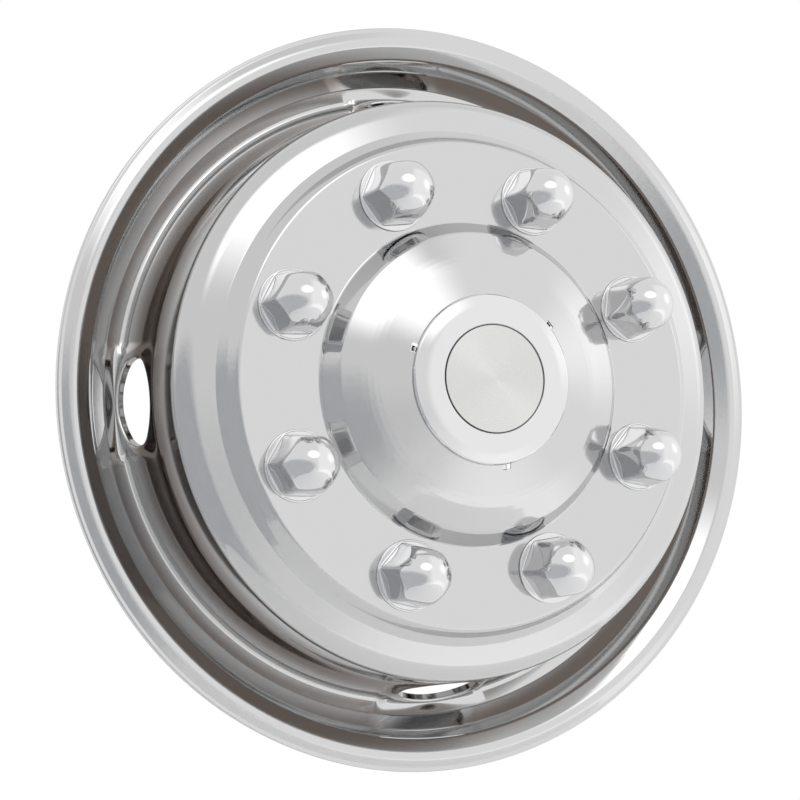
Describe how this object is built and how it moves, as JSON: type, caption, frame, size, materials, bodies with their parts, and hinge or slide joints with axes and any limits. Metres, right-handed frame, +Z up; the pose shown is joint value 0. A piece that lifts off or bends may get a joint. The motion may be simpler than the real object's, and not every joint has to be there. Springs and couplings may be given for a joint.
{
  "type": "truck wheel simulator",
  "caption": "Polished stainless truck wheel simulator: a deep pressed liner with hand holes, a drawn hub with a snap-in centre cap, and domed hexagonal nut covers.",
  "frame": {"origin": "on the wheel's axis, in the plane of the nut face, at the centre of the stud circle", "axes": "+Y along the wheel's axis towards the truck, the nose towards -Y; +Z up, +X to the right seen from the front"},
  "size_m": [0.534, 0.1445, 0.534],
  "materials": {
    "polished_stainless": "mirror polished",
    "emblem_foil": "brushed",
    "spring_steel": "phosphate grey",
    "moulded_plastic": "moulded",
    "zinc_steel": "bright zinc plate"
  },
  "bodies": {
    "root": {"wheel_liner": "polished_stainless", "centre_cap": "polished_stainless", "emblem_disc": "emblem_foil", "nut_cover_1": "polished_stainless", "nut_cover_2": "polished_stainless", "nut_cover_3": "polished_stainless", "nut_cover_4": "polished_stainless", "nut_cover_5": "polished_stainless", "nut_cover_6": "polished_stainless", "retaining_ring_1": "spring_steel", "retaining_ring_2": "spring_steel", "retaining_ring_3": "spring_steel", "retaining_ring_4": "spring_steel", "retaining_ring_5": "spring_steel", "retaining_ring_6": "spring_steel", "removable_nut_cover_1": "polished_stainless", "removable_nut_cover_2": "polished_stainless", "cover_insert_1": "moulded_plastic", "cover_insert_2": "moulded_plastic", "jam_nut_1": "zinc_steel", "jam_nut_2": "zinc_steel"}
  },
  "joints": []
}
